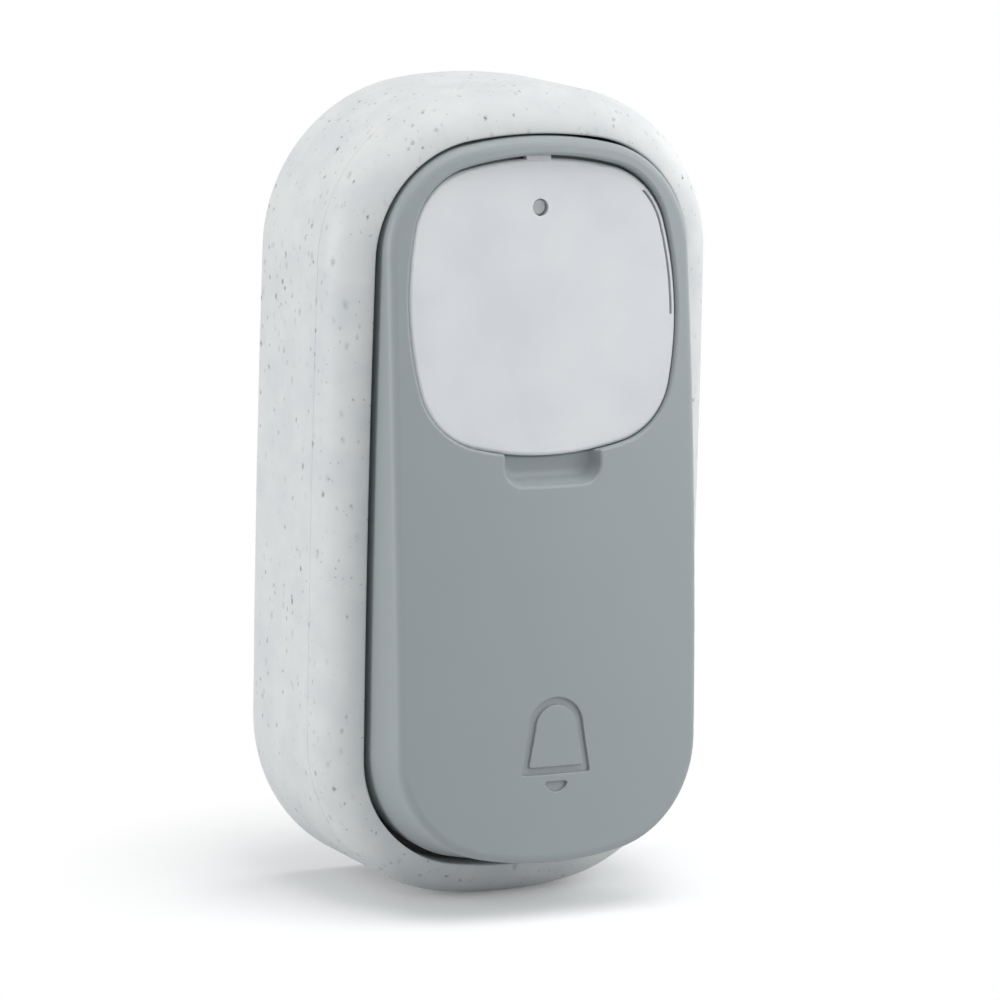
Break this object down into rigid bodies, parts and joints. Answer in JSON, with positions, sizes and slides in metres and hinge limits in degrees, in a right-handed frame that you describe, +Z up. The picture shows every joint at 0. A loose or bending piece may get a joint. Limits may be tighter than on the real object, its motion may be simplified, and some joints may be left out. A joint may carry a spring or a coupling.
{
  "type": "wireless doorbell button",
  "caption": "Upright wall-mounted bell push with a speckled case, a rocking push panel, a frosted name window and a battery door behind.",
  "frame": {"origin": "middle of the wall plate's back face, which lies on the wall", "axes": "+Z up along the case's height, +Y into the wall, -Y out of the front, +X to the right seen from the front"},
  "size_m": [0.0444, 0.0288, 0.0854],
  "materials": {
    "speckled_case": "fine matte, off-white with dark mineral speckles",
    "panel_grey": "fine matte, cool mid grey",
    "frosted_window": "frosted, slightly translucent",
    "card_white": "plain white label stock",
    "plate_grey": "matte moulded",
    "chassis_black": "matte moulded",
    "board_green": "glossy solder mask over glass fibre",
    "steel": "plain bright steel",
    "gold_plate": "thin gold plate on spring bronze",
    "chip_black": "moulded epoxy",
    "ceramic_tan": "fired ceramic with tinned ends",
    "rubber_black": "soft moulded rubber",
    "clear_acrylic": "clear moulded acrylic",
    "led_lens": "clear epoxy lens on a white body"
  },
  "bodies": {
    "wall": {"wall_plate": "plate_grey"},
    "unit": {"rear_shell": "speckled_case", "front_shell": "speckled_case", "shell_seal": "rubber_black", "chassis": "chassis_black", "panel_hinge_pin": "steel", "circuit_board": "board_green", "switch_body": "chip_black", "radio_chip": "chip_black", "crystal": "steel", "status_led": "led_lens", "aerial": "steel", "resistors": "chip_black", "capacitors": "ceramic_tan", "battery_holder": "chassis_black", "coin_cell": "steel", "battery_clip_positive": "gold_plate", "battery_clip_negative": "gold_plate", "case_screws": "steel", "board_screws": "steel"},
    "panel": {"push_panel": "panel_grey", "name_card": "card_white", "light_pipe": "clear_acrylic", "press_pad": "rubber_black"},
    "window": {"name_window": "frosted_window"},
    "plunger": {"switch_plunger": "plate_grey"},
    "door": {"battery_door": "plate_grey", "door_seal": "rubber_black"}
  },
  "joints": [
    {"name": "unit_lift", "type": "slide", "parent": "wall", "child": "unit", "axis": [0, 0, 1], "range_m": [0, 0.005]},
    {"name": "panel_press", "type": "hinge", "parent": "unit", "child": "panel", "pos_m": [0, -0.01605, 0.03555], "axis": [1, 0, 0], "range_deg": [0, 0.6], "stiffness_Nm_per_rad": 1, "springref_deg": -4.58},
    {"name": "switch_press", "type": "slide", "parent": "unit", "child": "plunger", "axis": [0, 1, 0], "range_m": [0, 0.0006]},
    {"name": "window_open", "type": "hinge", "parent": "panel", "child": "window", "pos_m": [0, -0.02061, 0.03566], "axis": [-1, 0, 0], "range_deg": [0, 45]},
    {"name": "door_turn", "type": "hinge", "parent": "unit", "child": "door", "pos_m": [0, -0.0053, -0.003], "axis": [0, 1, 0], "range_deg": [0, 45]}
  ],
  "couplings": [
    {"joint": "switch_press", "follows": "panel_press", "m_per_rad": 0.057}
  ]
}
